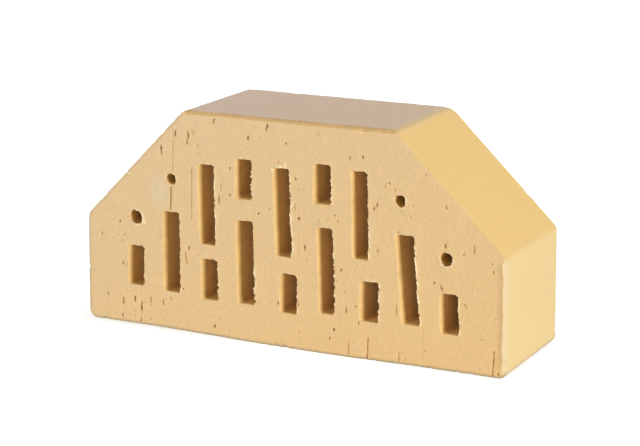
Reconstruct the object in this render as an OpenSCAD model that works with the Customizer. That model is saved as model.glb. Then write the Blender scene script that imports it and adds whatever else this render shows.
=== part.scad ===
// Clay brick with two cut corners and a slotted bed face.
// It stands on its long side: X runs along the length, Y through the thickness
// from bed face to bed face, Z up. The origin is the middle of the underside.

/* [Brick] */
// Length of the brick
brick_length = 240; // [220:1:300]
// Height of the brick as it stands on its long side
brick_height = 120; // [112:1:150]
// Thickness from one wire-cut bed face to the other
brick_thickness = 72; // [40:1:120]
// Leg of the 45 degree cut across each upper corner
corner_cut = 59; // [20:1:65]
// Radius of the edges that the die leaves along the brick
die_radius = 4.5; // [2.5:0.5:8]
// Bevel of the eased arris round each bed face
arris = 2; // [0.5:0.25:2.25]

/* [Hole columns] */
// Number of hole columns, an odd number
columns = 9; // [3:2:9]
// Distance between neighbouring columns
column_pitch = 22.75; // [16:0.25:24]
// How far the upper hole of the last column lags behind the lower one
upper_drift = 4.5; // [0:0.5:6]

/* [Slots] */
// Width of a slot
slot_width = 9; // [5:0.5:12]
// Length of a short slot; the long ones take up the height that is left
short_slot = 20.5; // [12:0.5:25]
// Radius of the corners of a slot
slot_corner = 1.5; // [0.5:0.25:2.25]
// Clay below the bottom row of slots
base_wall = 20.5; // [14:0.5:26]
// Web between a short slot and the long slot above it
web_over_short = 9.5; // [5:0.5:14]
// Web between a long slot and the short slot above it
web_over_long = 12; // [5:0.5:15]
// Clay above the upper long slots
wall_over_long = 24.5; // [18:0.5:30]
// Clay above the upper short slots
wall_over_short = 22; // [16:0.5:28]

/* [Round holes] */
// Diameter of the round hole in each end column
outer_hole = 7; // [3:0.5:12]
// Diameter of the round hole in each column beside it
inner_hole = 6; // [3:0.5:12]
// Height of a round hole's middle above the slot below it
hole_rise = 18.5; // [12:0.5:22]

/* [Hidden] */
$fn = 48;

// How far a cutter runs past the surface it cuts
overrun = 1;
cutter_length = brick_thickness + 2 * overrun;
last_column = columns - 1;

// Lengths of the long slots, lower and upper
lower_long = brick_height - wall_over_short - short_slot - web_over_long - base_wall;
upper_long = brick_height - wall_over_long - web_over_short - short_slot - base_wall;

// Centres of the six rounded edges, anticlockwise as seen from the front
side_x = brick_length / 2 - die_radius;
cut_inset = die_radius * tan(45 / 2);
shoulder_z = brick_height - corner_cut - cut_inset;
crest_x = brick_length / 2 - corner_cut - cut_inset;
crest_z = brick_height - die_radius;
edge_centres = [
    [-side_x, die_radius],
    [side_x, die_radius],
    [side_x, shoulder_z],
    [crest_x, crest_z],
    [-crest_x, crest_z],
    [-side_x, shoulder_z]
];
edge_count = len(edge_centres);

// A side runs from one edge centre to the next; its outward direction is a quarter turn from that
function side_run(side) = edge_centres[(side + 1) % edge_count] - edge_centres[side % edge_count];
function outward(side) = [side_run(side).y, -side_run(side).x] / norm(side_run(side));

// Ends of the straight sides, where the rounded edges start
outline_points = [
    for (i = [0:edge_count - 1], side = [i + edge_count - 1, i])
        edge_centres[i] + die_radius * outward(side)
];

// Cross-section of an arris cutter: outward from the edge centres, and through the thickness
bevel_reach = die_radius + overrun;
bevel_leg = arris + 2 * overrun;
bevel_profile = [
    [bevel_reach, -cutter_length / 2],
    [bevel_reach, bevel_leg - cutter_length / 2],
    [bevel_reach - bevel_leg, -cutter_length / 2]
];

// Column counted from the nearer end, middle of a column, and middle of its upper hole
function from_end(column) = min(column, last_column - column);
function is_even(count) = count % 2 == 0;
function column_x(column) = (column - last_column / 2) * column_pitch;
function upper_x(column) = column_x(column) - upper_drift * column / last_column;
function lower_length(column) = is_even(from_end(column)) ? short_slot : lower_long;
function lower_top(column) = base_wall + lower_length(column);

// Carries an outline drawn in X and Z through the thickness
module through(length) {
    rotate([90, 0, 0])
        linear_extrude(length, center = true)
            children();
}

// Outline of the section: straight sides and rounded edges
module outline() {
    polygon(outline_points);
    for (centre = edge_centres) translate(centre) circle(die_radius);
}

// Cutter for the arris along one side of the front bed face
module arris_cutter(side) {
    start = edge_centres[side];
    run = side_run(side);
    translate([start.x, 0, start.y])
        rotate([0, 90 - atan2(run.y, run.x), 0])
            translate([0, 0, -bevel_reach])
                linear_extrude(norm(run) + 2 * bevel_reach)
                    polygon(bevel_profile);
}

// The brick before its holes
module blank() {
    difference() {
        through(brick_thickness) outline();
        for (side = [0:edge_count - 1]) {
            arris_cutter(side);
            mirror([0, 1, 0]) arris_cutter(side);
        }
    }
}

// Slot with rounded corners, standing on the given height
module slot(x, bottom, length) {
    straight_x = slot_width / 2 - slot_corner;
    straight_z = length / 2 - slot_corner;
    translate([x, 0, bottom + length / 2])
        through(cutter_length) {
            square([slot_width, 2 * straight_z], center = true);
            square([2 * straight_x, length], center = true);
            for (side = [-1, 1], end = [-1, 1])
                translate([side * straight_x, end * straight_z]) circle(slot_corner);
        }
}

// Round hole through the thickness
module round_hole(x, height, diameter) {
    translate([x, 0, height])
        rotate([90, 0, 0])
            cylinder(h = cutter_length, d = diameter, center = true);
}

// Upper hole of a column: round in the two columns at each end, slots between them
module upper_hole(column) {
    count = from_end(column);
    x = upper_x(column);
    top = lower_top(column);
    if (count == 0) round_hole(x, top + hole_rise, outer_hole);
    else if (count == 1) round_hole(x, top + hole_rise, inner_hole);
    else if (is_even(count)) slot(x, top + web_over_short, upper_long);
    else slot(x, top + web_over_long, short_slot);
}

// The brick, fired as one piece
module brick() {
    color([0.89, 0.76, 0.57])
        difference() {
            blank();
            for (column = [0:last_column]) {
                slot(column_x(column), base_wall, lower_length(column));
                upper_hole(column);
            }
        }
}

brick();
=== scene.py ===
"""Dresses the packed clay brick: one worked clay body over its solid, and a plain studio round it."""

import math

import bpy
import numpy as np
from mathutils import Matrix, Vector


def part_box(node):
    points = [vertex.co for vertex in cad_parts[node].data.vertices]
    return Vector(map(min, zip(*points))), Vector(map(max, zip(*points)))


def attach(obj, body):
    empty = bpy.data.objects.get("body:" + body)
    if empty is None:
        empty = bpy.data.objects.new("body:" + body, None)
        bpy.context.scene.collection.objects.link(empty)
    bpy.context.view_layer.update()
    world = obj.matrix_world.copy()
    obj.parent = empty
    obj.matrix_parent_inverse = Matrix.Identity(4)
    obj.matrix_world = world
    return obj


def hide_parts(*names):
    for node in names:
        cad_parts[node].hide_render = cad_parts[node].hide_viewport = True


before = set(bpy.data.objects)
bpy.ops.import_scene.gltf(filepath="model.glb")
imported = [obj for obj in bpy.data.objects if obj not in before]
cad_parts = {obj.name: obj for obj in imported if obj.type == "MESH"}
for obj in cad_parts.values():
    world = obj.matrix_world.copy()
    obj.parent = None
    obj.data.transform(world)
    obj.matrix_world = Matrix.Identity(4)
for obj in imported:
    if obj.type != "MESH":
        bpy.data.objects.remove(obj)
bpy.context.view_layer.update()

bl_info = {
    "name": "Clay Brick",
    "version": (1, 0, 0),
    "blender": (4, 5, 0),
    "location": "View3D > Sidebar > Clay Brick",
    "description": "Wire-cut clay brick with cut corners and a slotted bed face, with its studio",
    "category": "Add Mesh",
}

MM = 0.001
NODE_LOW, NODE_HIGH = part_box("brick")
NODE_SIZE = NODE_HIGH - NODE_LOW

# How each lower hole settled, column by column from the left end: shift along the length, lift of its foot
# and of its head in millimetres, lean to the right in degrees, and widening in millimetres
LOWER_SETTLING = (
    (1.3, 2.8, 4.0, 1.6, 0.1),
    (0.2, 1.5, 0.0, 0.0, 0.6),
    (0.1, 0.1, 1.4, 0.2, 0.4),
    (-1.4, 0.5, -0.1, -1.3, 0.6),
    (0.8, -1.5, -0.8, 0.0, 0.2),
    (-0.7, 0.9, 0.9, -1.8, -0.5),
    (1.0, 0.0, 0.4, 0.0, 0.8),
    (-0.8, 1.4, 2.2, -5.3, 0.4),
    (-0.9, -0.7, -0.4, -2.0, 0.4),
)

# The same for each upper hole
UPPER_SETTLING = (
    (1.3, 0.8, 1.1, -6.0, 0.0),
    (0.8, -0.6, -0.6, -8.0, 0.0),
    (0.0, -0.4, -2.8, -0.7, 0.0),
    (-0.5, -0.7, -0.5, 0.3, -0.3),
    (-0.3, -1.7, -0.6, -2.0, -0.2),
    (0.1, 1.4, 1.3, -0.6, 0.4),
    (-1.1, 2.1, 2.2, -1.1, -0.4),
    (-1.7, 0.8, 0.8, -6.0, 0.0),
    (1.5, -1.5, -2.1, -6.0, 0.0),
)

# Pits in the front bed face: place along the length, height, half width and half length in millimetres
FRONT_PITS = (
    (-41.9, 116.1, 0.4, 1.2), (-57.4, 107.0, 0.5, 1.6), (-58.3, 103.8, 0.4, 1.3), (-55.1, 109.4, 0.3, 0.9),
    (-53.9, 108.8, 0.3, 0.7), (-65.0, 107.5, 0.4, 1.5), (-73.6, 97.9, 0.5, 2.0), (-11.3, 116.3, 0.5, 1.0),
    (-11.8, 114.5, 0.4, 1.2), (-22.3, 108.9, 0.5, 1.0), (-0.5, 108.0, 0.32, 0.7), (17.4, 114.1, 0.35, 0.7),
    (42.2, 105.1, 0.4, 1.0), (34.9, 103.9, 0.35, 1.2), (-33.0, 92.3, 0.5, 0.6), (-33.0, 78.1, 0.4, 0.6),
    (-39.4, 74.8, 0.4, 2.4), (4.6, 90.3, 0.48, 0.8), (57.1, 93.5, 0.4, 0.6), (59.9, 90.5, 0.34, 0.9),
    (50.2, 81.6, 0.4, 1.2), (48.6, 79.4, 0.33, 0.8), (87.5, 84.5, 0.36, 0.9), (76.4, 99.4, 0.33, 0.7),
    (87.1, 64.7, 0.45, 0.9), (88.4, 66.6, 0.3, 0.7), (96.9, 61.4, 0.36, 0.8), (50.4, 58.0, 0.4, 1.0),
    (30.2, 45.5, 0.42, 0.7), (81.5, 45.2, 0.3, 0.7), (85.5, 43.2, 0.42, 1.3), (33.4, 25.1, 0.4, 1.1),
    (40.4, 19.1, 0.5, 0.8), (26.7, 13.6, 0.5, 0.8), (107.2, 19.7, 0.3, 0.6), (-98.2, 34.2, 0.4, 1.2),
    (-98.2, 13.8, 0.4, 1.6), (-91.2, 15.3, 0.43, 1.3), (-87.2, 11.6, 0.5, 2.2), (-81.6, 14.7, 0.34, 2.3),
    (-98.9, 5.2, 0.42, 1.0), (-87.7, 3.9, 0.5, 0.9), (-108.0, 16.3, 0.4, 1.0), (-69.3, 18.0, 0.36, 0.8),
    (-73.7, 15.4, 0.38, 1.3), (-42.7, 6.6, 0.38, 0.8), (-57.6, 46.8, 0.4, 0.9), (-99.5, 57.1, 0.4, 1.0),
    (-110.9, 49.2, 0.4, 0.8), (-16.9, 70.0, 0.6, 0.5), (6.5, 69.7, 0.4, 1.0), (4.5, 75.7, 0.3, 1.6),
    (10.0, 54.9, 0.5, 1.1), (112.1, 58.1, 0.3, 0.5), (113.1, 54.3, 0.4, 0.6), (-4.9, 97.9, 0.3, 0.8),
    (6.4, 84.8, 0.3, 0.6), (54.9, 91.4, 0.3, 0.6), (69.4, 83.2, 0.3, 0.9), (-10.0, 73.2, 0.3, 0.6),
    (-19.5, 70.1, 0.3, 0.6), (22.8, 71.4, 0.3, 0.7), (27.0, 73.6, 0.5, 0.4), (28.4, 70.3, 0.3, 0.8),
    (17.7, 69.5, 0.3, 1.2), (61.9, 69.0, 0.6, 0.3), (63.4, 79.6, 0.3, 0.5), (38.3, 45.5, 0.3, 0.6),
    (47.2, 44.7, 0.3, 0.5), (32.8, 34.3, 0.3, 0.6), (39.0, 27.9, 0.4, 0.5), (92.1, 49.4, 0.36, 0.3),
    (114.6, 30.9, 0.28, 0.5), (98.3, 35.5, 0.4, 0.4), (101.6, 43.7, 0.26, 0.5), (77.2, 9.4, 0.3, 0.5),
    (66.4, 3.2, 0.3, 0.6), (116.6, 2.9, 0.4, 0.6), (117.9, 2.6, 0.4, 0.4), (-95.4, 33.4, 0.3, 0.7),
    (-84.7, 14.0, 0.3, 0.7), (-91.9, 8.7, 0.36, 0.8), (-91.4, 5.7, 0.32, 0.7), (-82.1, 9.3, 0.26, 0.7),
    (-81.6, 5.2, 0.26, 0.7), (-74.2, 6.1, 0.33, 0.6), (-97.1, 50.1, 0.33, 0.7), (-103.9, 47.5, 0.26, 0.5),
    (-98.4, 46.3, 0.33, 0.6), (-61.4, 24.4, 0.36, 0.6), (-39.4, 16.4, 0.25, 1.2), (-39.6, 11.1, 0.25, 1.2),
    (-43.5, 12.0, 0.28, 0.5), (-33.7, 5.1, 0.3, 0.6), (-5.2, 23.9, 0.42, 0.8), (6.2, 24.7, 0.45, 0.7),
    (24.2, 9.0, 0.38, 0.6), (6.5, 9.9, 0.32, 0.6), (28.1, 40.2, 0.33, 0.5), (11.3, 48.8, 0.26, 0.6),
    (53.0, 48.0, 0.26, 0.5), (-51.8, 101.9, 0.28, 0.9), (-51.5, 98.4, 0.26, 0.7), (-24.0, 103.9, 0.26, 0.5),
    (-15.8, 109.8, 0.26, 0.5), (11.6, 96.9, 0.28, 0.6), (68.7, 77.0, 0.25, 0.5),
)

# Cracks in the front bed face: place along the length and height of the upper and lower end,
# then half width in millimetres
FRONT_CRACKS = (
    (-66.3, 110.2, -66.8, 86.3, 0.30),
    (-68.0, 79.6, -68.4, 66.0, 0.58),
    (-55.6, 91.7, -56.0, 61.3, 0.34),
    (-60.1, 44.6, -59.0, 38.3, 0.38),
    (61.0, 31.8, 61.2, 25.1, 0.36),
    (34.6, 8.4, 34.6, 0.0, 0.34),
    (45.7, 12.5, 45.3, 0.0, 0.46),
    (63.0, 7.4, 62.8, 0.0, 0.36),
    (75.9, 23.9, 76.2, 4.1, 0.20),
    (114.0, 15.1, 113.3, 0.0, 0.44),
    (6.4, 79.6, 6.4, 32.2, 0.16),
    (102.4, 67.0, 102.4, 62.5, 0.40),
    (-38.4, 84.6, -38.6, 79.0, 0.30),
)

# Raised flakes beside the holes of the front bed face, laid out like the pits
FRONT_FLAKES = (
    (-1.0, 95.8, 0.5, 1.4), (-4.0, 96.0, 1.4, 0.4), (1.5, 90.1, 0.4, 1.1), (-8.5, 93.9, 0.4, 0.6),
    (-93.3, 83.7, 0.9, 0.4), (113.6, 9.6, 0.3, 0.7), (-64.9, 83.3, 0.4, 1.6), (-84.3, 58.4, 0.4, 0.9),
)

# Pale smears on the front bed face, laid out like the pits
FRONT_SMEARS = ((-75.2, 75.3, 5.0, 5.5), (38.6, 6.4, 0.9, 0.6), (53.0, 8.8, 0.8, 0.8))

# How far a mark spreads past its half width and its half length
PIT_WIDENING = 1.1
PIT_LENGTHENING = 1.45
# Half widths in millimetres from which a pit and a crack are as deep as can be
PIT_FULL_WIDTH = 0.45
CRACK_FULL_WIDTH = 0.42
# How far noise bends a pit and sways a crack, and the length of a sway, in millimetres
PIT_BEND = 0.4
CRACK_SWAY = 0.12
CRACK_SWAY_LENGTH = 4.0
# Steepness of a pit's bell curve
PIT_STEEPNESS = 1.5

# Relief of a bed face in millimetres: depth of a pit, a crack, the wire's drag and slow unevenness
PIT_DEPTH = 0.35
CRACK_DEPTH = 0.3
DRAG_DEPTH = 0.05
UNEVEN_DEPTH = 0.12
# Sizes of their noises in millimetres, across and up for the drag
DRAG_WIDTH = 6.0
DRAG_LENGTH = 60.0
UNEVEN_SIZE = 22.0
# Sizes in millimetres of what the wire tore at a hole's edge: long runs, coarse tears, lumps of a round hole,
# fine and finest tears
TEAR_RUN = 14.0
TEAR_COARSE = 8.0
TEAR_LUMP = 2.4
TEAR_FINE = 1.9
TEAR_FINEST = 0.9
# Sizes in millimetres of a chip in the outline and of a run of chips
CHIP_SIZE = 2.0
CHIP_RUN = 11.0
# Sizes in millimetres of the waves of a lip and an arris, of nibbles at an end, and of a burr's lumps and
# their runs
LIP_WAVE = 9.0
ARRIS_WAVE = 14.0
NIBBLE_SIZE = 4.0
LUMP_SIZE = 1.4
LUMP_RUN = 17.0
# Reach in millimetres of the burr at a hole and of the ledge at its lip
BURR_REACH = 0.9
LEDGE_REACH = 0.45
# Depth of an arris for each millimetre of its width
ARRIS_SLOPE = 0.9
# Width in millimetres of the arris along a cut, as good as none
CUT_ARRIS = 0.001
# Headings in degrees at which the width of an arris is given, from the base over the right end and the top
ARRIS_HEADINGS = (-90, -60, -20, 15, 35, 55, 75, 105, 125, 145, 165, 200, 240, 270)

# Shares of the thickness at which the walls have a row of points, close together at both mouths
WALL_ROWS = (0.0, 0.012, 0.045, 0.955, 0.988, 1.0)
# Depth in millimetres over which a torn or chipped edge eases into its true line
EASE_DEPTH = 0.8
# Angle in degrees from which an edge is shaded sharp
SHARP_ANGLE = 48

# How far a point lies within an arris in millimetres: the least on a bed face, and that of the outer walls
FACE_RIM = -4.0
WALL_RIM = 3.0

# Longest side of a triangle in millimetres: at a hole's edge, at a mark, at the outline, on the open face
HOLE_STEP = 0.47
MARK_STEP = 0.56
OUTLINE_STEP = 1.25
OPEN_STEP = 3.4
# How much longer it may be for each millimetre away from there, and how wide a hole's edge counts
STEP_GROWTH = 1.0
HOLE_BAND = 0.3
# Moving points onto an edge: reach in millimetres of the probe that takes the slope, least slope, how near a
# point has to lie as a share of its shortest side, and number of moves
PROBE = 0.05
LEAST_SLOPE = 0.4
NEAR_SHARE = 0.3
MOVES = 3
# Least length that a number is divided by
TINY = 1e-9

# Shares of half the length, from the middle outwards, between which the base bows up at each end
LEFT_BOW = (-0.1, 0.75)
RIGHT_BOW = (0.25, 0.6)

# Seeds of the front and back bed faces, and of the pits, cracks, flakes and smears of the back one
FRONT_SEED = 21
BACK_SEED = 61
SCATTER_SEEDS = (5, 6, 7, 8)
# How much wider and longer a smear is than a pit drawn at random
SMEAR_GROWTH = (1.0, 1.0, 9.0, 4.0)
# Random numbers along each side of the table that noise is read from
NOISE_TABLE = 256

# Point attributes that the clay is coloured by, painted shade and highlight among them
FINISH_SHARES = ("rim", "end", "crest", "grime", "hollow", "pit", "burr", "smear", "bore")
# Features of the clay's noises to a metre, evenly or along each axis
BROAD = 22.0
MOTTLE = 160.0
GRAIN = 1200.0
NIBBLE = 260.0
WIRE_DRAG = (1500.0, 60.0, 220.0)
FLECKS = (700.0, 700.0, 380.0)
DIE_DRAW = (260.0, 5.0, 260.0)
# Values that most of a noise lies between
NOISE_LOW = 0.3
NOISE_HIGH = 0.7
# Strength and depth in metres of the clay's bump, and its index of refraction
BUMP_STRENGTH = 0.18
BUMP_DEPTH = 0.0003
CLAY_IOR = 1.5

# Half width of the floor in metres, distances from the brick between which its glow grows, and that glow
FLOOR_REACH = 4.0
GLOW_SPAN = (0.2, 0.7)
FLOOR_GLOW = (0.72, 0.96)
# Rises between which the ceiling gives way to the white band, as sines, and the strength of both
BAND_RISES = (0.57, 0.40)
BAND_LEVELS = (0.1, 1.0)
# Width of the camera's sensor in millimetres
SENSOR_WIDTH = 36.0
WHITE = (1.0, 1.0, 1.0, 1.0)


def length_property(name, description, default):
    """A length in metres that the panel shows."""
    return bpy.props.FloatProperty(
        name=name, description=description, default=default,
        min=0.0, precision=5, subtype="DISTANCE", unit="LENGTH",
    )


def colour_property(name, description, default):
    """A colour, red, green and blue from 0 to 1."""
    return bpy.props.FloatVectorProperty(
        name=name, description=description, default=default, min=0.0, max=1.0, size=3, subtype="COLOR"
    )


def share_property(name, description, default):
    """A share from 0 to 1."""
    return bpy.props.FloatProperty(
        name=name, description=description, default=default, min=0.0, max=1.0, subtype="FACTOR"
    )


def angle_property(name, description, degrees):
    """An angle, given in degrees and kept in radians."""
    return bpy.props.FloatProperty(
        name=name, description=description, default=math.radians(degrees), subtype="ANGLE"
    )


def power_property(name, description, default):
    """Power of a lamp in watts."""
    return bpy.props.FloatProperty(
        name=name, description=description, default=default, min=0.0, subtype="POWER", unit="POWER"
    )


class BrickSizes(bpy.types.PropertyGroup):
    """Sizes of the brick, its holes and its worked edges."""

    length: length_property("Length", "Length of the brick", NODE_SIZE.x)
    thickness: length_property("Thickness", "From one bed face to the other", NODE_SIZE.y)
    height: length_property("Height", "Height of the brick on its long side", NODE_SIZE.z)
    right_run: length_property("Right cut run", "Leg along the top of the right cut", 0.0607)
    right_drop: length_property("Right cut drop", "Leg down the end of the right cut", 0.0586)
    left_run: length_property("Left cut run", "Leg along the top of the left cut", 0.0600)
    left_drop: length_property("Left cut drop", "Leg down the end of the left cut", 0.0618)
    left_short: length_property("Left short", "How far the left end falls short of the full length", 0.0007)
    foot_spread: length_property("Foot spread", "How far each end spreads at its foot", 0.0009)
    left_lift: length_property("Left lift", "How far the base bows up at the left end", 0.0016)
    right_lift: length_property("Right lift", "How far the base bows up at the right end", 0.0005)
    crest_radius: length_property("Crest radius", "Radius between the top and the right cut", 0.0065)
    foot_radius: length_property("Foot radius", "Radius between the base and the left end", 0.0052)
    die_radius: length_property("Die radius", "Radius of the other edges along the thickness", 0.0045)
    column_pitch: length_property("Column pitch", "Distance between neighbouring columns of holes", 0.02275)
    upper_drift: length_property("Upper drift", "Lag of the last column's upper hole", 0.0045)
    slot_width: length_property("Slot width", "Width of a slot", 0.009)
    short_slot: length_property("Short slot", "Length of a short slot", 0.0205)
    long_slot: length_property("Long slot", "Length of a long slot", 0.045)
    slot_corner: length_property("Slot corner", "Radius of a slot's corners", 0.0015)
    base_wall: length_property("Base wall", "Clay below the lower slots", 0.0205)
    web_over_short: length_property("Web over short", "Clay between a short slot and the one above", 0.0095)
    web_over_long: length_property("Web over long", "Clay between a long slot and the one above", 0.012)
    outer_hole: length_property("Outer hole", "Diameter of the round hole in each end column", 0.0074)
    inner_hole: length_property("Inner hole", "Diameter of the round hole in the next column", 0.0060)
    hole_rise: length_property("Hole rise", "Height of a round hole above its slot", 0.0185)
    dragged_lip: length_property("Dragged lip", "Radius of the lip that the wire drags into a slot", 0.0008)
    foot_lip: length_property("Foot lip", "Radius of the lip at the foot of a slot", 0.0007)
    sharp_lip: length_property("Sharp lip", "Radius of the lip where the wire leaves a slot", 0.00025)
    chip: length_property("Chip", "Deepest chip in the edge of a bed face", 0.0011)
    burr: length_property("Burr", "Height of the burr where the wire leaves a slot", 0.00035)
    ragged_edge: length_property("Ragged edge", "How far a torn slot edge strays", 0.0005)
    top_arris: length_property("Top arris", "Width of the eased edge along the top", 0.0017)
    end_arris: length_property("End arris", "Width of the eased edge along the ends", 0.0023)
    base_arris: length_property("Base arris", "Width of the eased edge along the base", 0.001)


class BrickFinish(bpy.types.PropertyGroup):
    """Colours and gloss of the fired clay, some of them painted light and shade."""

    cut_pale: colour_property("Wire-cut pale", "Paler tone of the wire-cut faces", (0.757, 0.546, 0.302))
    cut_warm: colour_property("Wire-cut warm", "Warmer tone of the wire-cut faces", (0.800, 0.538, 0.240))
    skin_low: colour_property("Skin low", "Die skin on the base and the ends", (0.806, 0.595, 0.263))
    # Painted light: the die skin painted lighter on the cut corners, where more light falls on them
    skin_slope_painted_light: colour_property("Skin slope", "Die skin on the cut corners", (0.932, 0.630, 0.232))
    # Painted light: the top's colour is tuned so that under its grey sheen and dim light it comes out as lit;
    # the clay is the same as the other skin
    skin_top_painted_light: colour_property("Skin top", "Die skin on the top", (0.940, 0.566, 0.238))
    # Painted reflection: the top is bluer at the left, for the mauve sheen there
    skin_top_left_painted_light: colour_property("Skin top left", "Die skin on the top, at the left", (0.940, 0.570, 0.305))
    hollow: colour_property("Hollow", "Mouths of the holes", (0.845, 0.562, 0.212))
    # Painted shade: darker, cooler colour deep in the holes, where less light reaches
    hollow_deep_shade: colour_property("Hollow deep", "Walls deep in the holes", (0.715, 0.510, 0.300))
    # Pale clay of flecks and burrs, and a painted highlight along the edges of holes and pits and the inner
    # edge of the end arrises
    pale_clay_and_highlight: colour_property("Burr pale", "Burrs round the holes", (0.970, 0.790, 0.500))
    smear_grey: colour_property("Smear", "Pale smears on the wire-cut faces", (0.740, 0.610, 0.420))
    # Painted shade: the eased edge along the top, painted darker brown for the light it misses
    crest_shade_brown: colour_property("Crest brown", "Eased edge along the top", (0.725, 0.468, 0.202))
    # Worn end arrises, also painted greyer for the sheen they catch
    worn_and_sheen_pale: colour_property("Worn pale", "Worn arrises at the ends", (0.722, 0.562, 0.306))
    beside_tint: colour_property("Beside tint", "Tint beside a worn arris", (0.790, 0.755, 0.690))
    # Painted shade: bluish darkening along the base edge, the rounding under the ends and the left end's edge
    painted_edge_shade_tint: colour_property("Grime tint", "Tint of the edge along the base", (0.550, 0.580, 0.720))
    # Dark brown of flecks, and painted shade in pits and cracks
    fleck_and_pit_shade_brown: colour_property("Pit brown", "Colour in pits and cracks", (0.150, 0.065, 0.022))
    pit_rust: colour_property("Pit rust", "Colour round pits and along cracks", (0.580, 0.300, 0.085))
    cut_roughness: share_property("Wire-cut roughness", "Roughness of the wire-cut faces", 0.9)
    skin_roughness: share_property("Skin roughness", "Roughness of the ends and cut corners", 0.55)
    top_roughness: share_property("Top roughness", "Roughness of the top, the glossiest face", 0.30)


class StudioSettings(bpy.types.PropertyGroup):
    """Camera and light of the studio."""

    azimuth: angle_property("Azimuth", "Turn of the camera to the right", 26.10)
    elevation: angle_property("Elevation", "Rise of the camera", 13.817)
    roll: angle_property("Roll", "Turn of the camera about its axis", 0.094)
    distance: length_property("Distance", "Camera to the point it looks at", 1.101)
    aim: bpy.props.FloatVectorProperty(
        name="Aim", description="Point that the camera looks at", default=(0.001, 0.0, 0.05906),
        subtype="TRANSLATION",
    )
    lens: bpy.props.FloatProperty(
        name="Lens", description="Focal length for a 36 mm sensor", default=118.02, subtype="DISTANCE_CAMERA"
    )
    key_power: power_property("Key power", "Power of the key light", 16.9)
    key_azimuth: angle_property("Key azimuth", "Turn of the key light to the right", 72.0)
    key_elevation: angle_property("Key elevation", "Rise of the key light", 4.0)
    key_width: length_property("Key width", "Width of the key light", 0.55)
    key_height: length_property("Key height", "Height of the key light", 0.3)
    fill_power: power_property("Fill power", "Power of the fill light", 13.0)
    fill_azimuth: angle_property("Fill azimuth", "Turn of the fill light to the right", -25.0)
    fill_elevation: angle_property("Fill elevation", "Rise of the fill light", 5.0)
    fill_width: length_property("Fill width", "Width of the fill light", 0.6)
    fill_height: length_property("Fill height", "Height of the fill light", 0.35)
    top_power: power_property("Top power", "Power of the top light", 8.0)
    top_azimuth: angle_property("Top azimuth", "Turn of the top light to the right", 120.0)
    top_elevation: angle_property("Top elevation", "Rise of the top light", 80.0)
    top_width: length_property("Top width", "Width and depth of the top light", 0.8)
    lamp_distance: length_property("Lamp distance", "Lights to the brick", 1.6)
    ambient: share_property("Ambient", "Strength of the light from all round", 0.30)
    floor_colour: colour_property("Floor", "Colour of the floor", (0.8, 0.8, 0.8))


def smooth_step(low, high, value):
    """Curve 3t^2 - 2t^3 that climbs from 0 at low to 1 at high."""
    share = np.clip((value - low) / (high - low), 0.0, 1.0)
    return share * share * (3.0 - 2.0 * share)


def lattice_noise(x, z, feature, seed):
    """Smooth noise from -1 to 1 with features of a size.

    Random numbers stand on the points of a square lattice, and a smooth step blends them in between.
    """
    across, up = x / feature, z / feature
    table = np.random.default_rng(seed).uniform(-1.0, 1.0, (NOISE_TABLE, NOISE_TABLE))
    cell_x = np.floor(across).astype(int)
    cell_z = np.floor(up).astype(int)
    blend_x = smooth_step(0.0, 1.0, across - cell_x)
    blend_z = smooth_step(0.0, 1.0, up - cell_z)
    left, right = cell_x % NOISE_TABLE, (cell_x + 1) % NOISE_TABLE
    low, high = cell_z % NOISE_TABLE, (cell_z + 1) % NOISE_TABLE
    foot = table[left, low] * (1.0 - blend_x) + table[right, low] * blend_x
    head = table[left, high] * (1.0 - blend_x) + table[right, high] * blend_x
    return foot * (1.0 - blend_z) + head * blend_z


def rough_noise(x, z, feature, seed):
    """Two sizes of lattice noise added, the second half as large and half as strong."""
    fine = lattice_noise(2.0 * x, 2.0 * z, feature, seed + 1)
    return (lattice_noise(x, z, feature, seed) + 0.5 * fine) / 1.5


def in_millimetres(sizes):
    """The sizes by name, in millimetres."""
    return {name: getattr(sizes, name) / MM for name in sizes.__annotations__}


def lay_out_holes(size):
    """One row for each hole: middle, half width, half length, corner radius and lean as a slope.

    Columns stand a pitch apart. Counted from the nearer end, even columns have a short slot below a long slot
    or round hole, odd columns a long slot below a short slot or round hole. Each hole settled a little.
    """
    holes = []
    last = len(LOWER_SETTLING) - 1
    for column in range(last + 1):
        from_end = min(column, last - column)
        column_x = (column - last / 2) * size["column_pitch"]
        upper_x = column_x - size["upper_drift"] * column / last
        even = from_end % 2 == 0
        foot = size["base_wall"]
        head = foot + (size["short_slot"] if even else size["long_slot"])
        half_width = size["slot_width"] / 2
        holes.append((column_x, foot, head, half_width, size["slot_corner"], LOWER_SETTLING[column]))
        if from_end < 2:
            radius = (size["outer_hole"] if from_end == 0 else size["inner_hole"]) / 2
            middle = head + size["hole_rise"]
            holes.append((upper_x, middle - radius, middle + radius, radius, radius, UPPER_SETTLING[column]))
        else:
            foot = head + (size["web_over_short"] if even else size["web_over_long"])
            head = foot + (size["long_slot"] if even else size["short_slot"])
            holes.append((upper_x, foot, head, half_width, size["slot_corner"], UPPER_SETTLING[column]))
    rows = []
    for x, foot, head, half_width, corner, (shift, foot_lift, head_lift, lean, widening) in holes:
        foot += foot_lift
        head += head_lift
        half_width += widening / 2
        slope = math.tan(math.radians(lean))
        rows.append((x + shift, (foot + head) / 2, half_width, (head - foot) / 2, corner, slope))
    return rows


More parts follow.
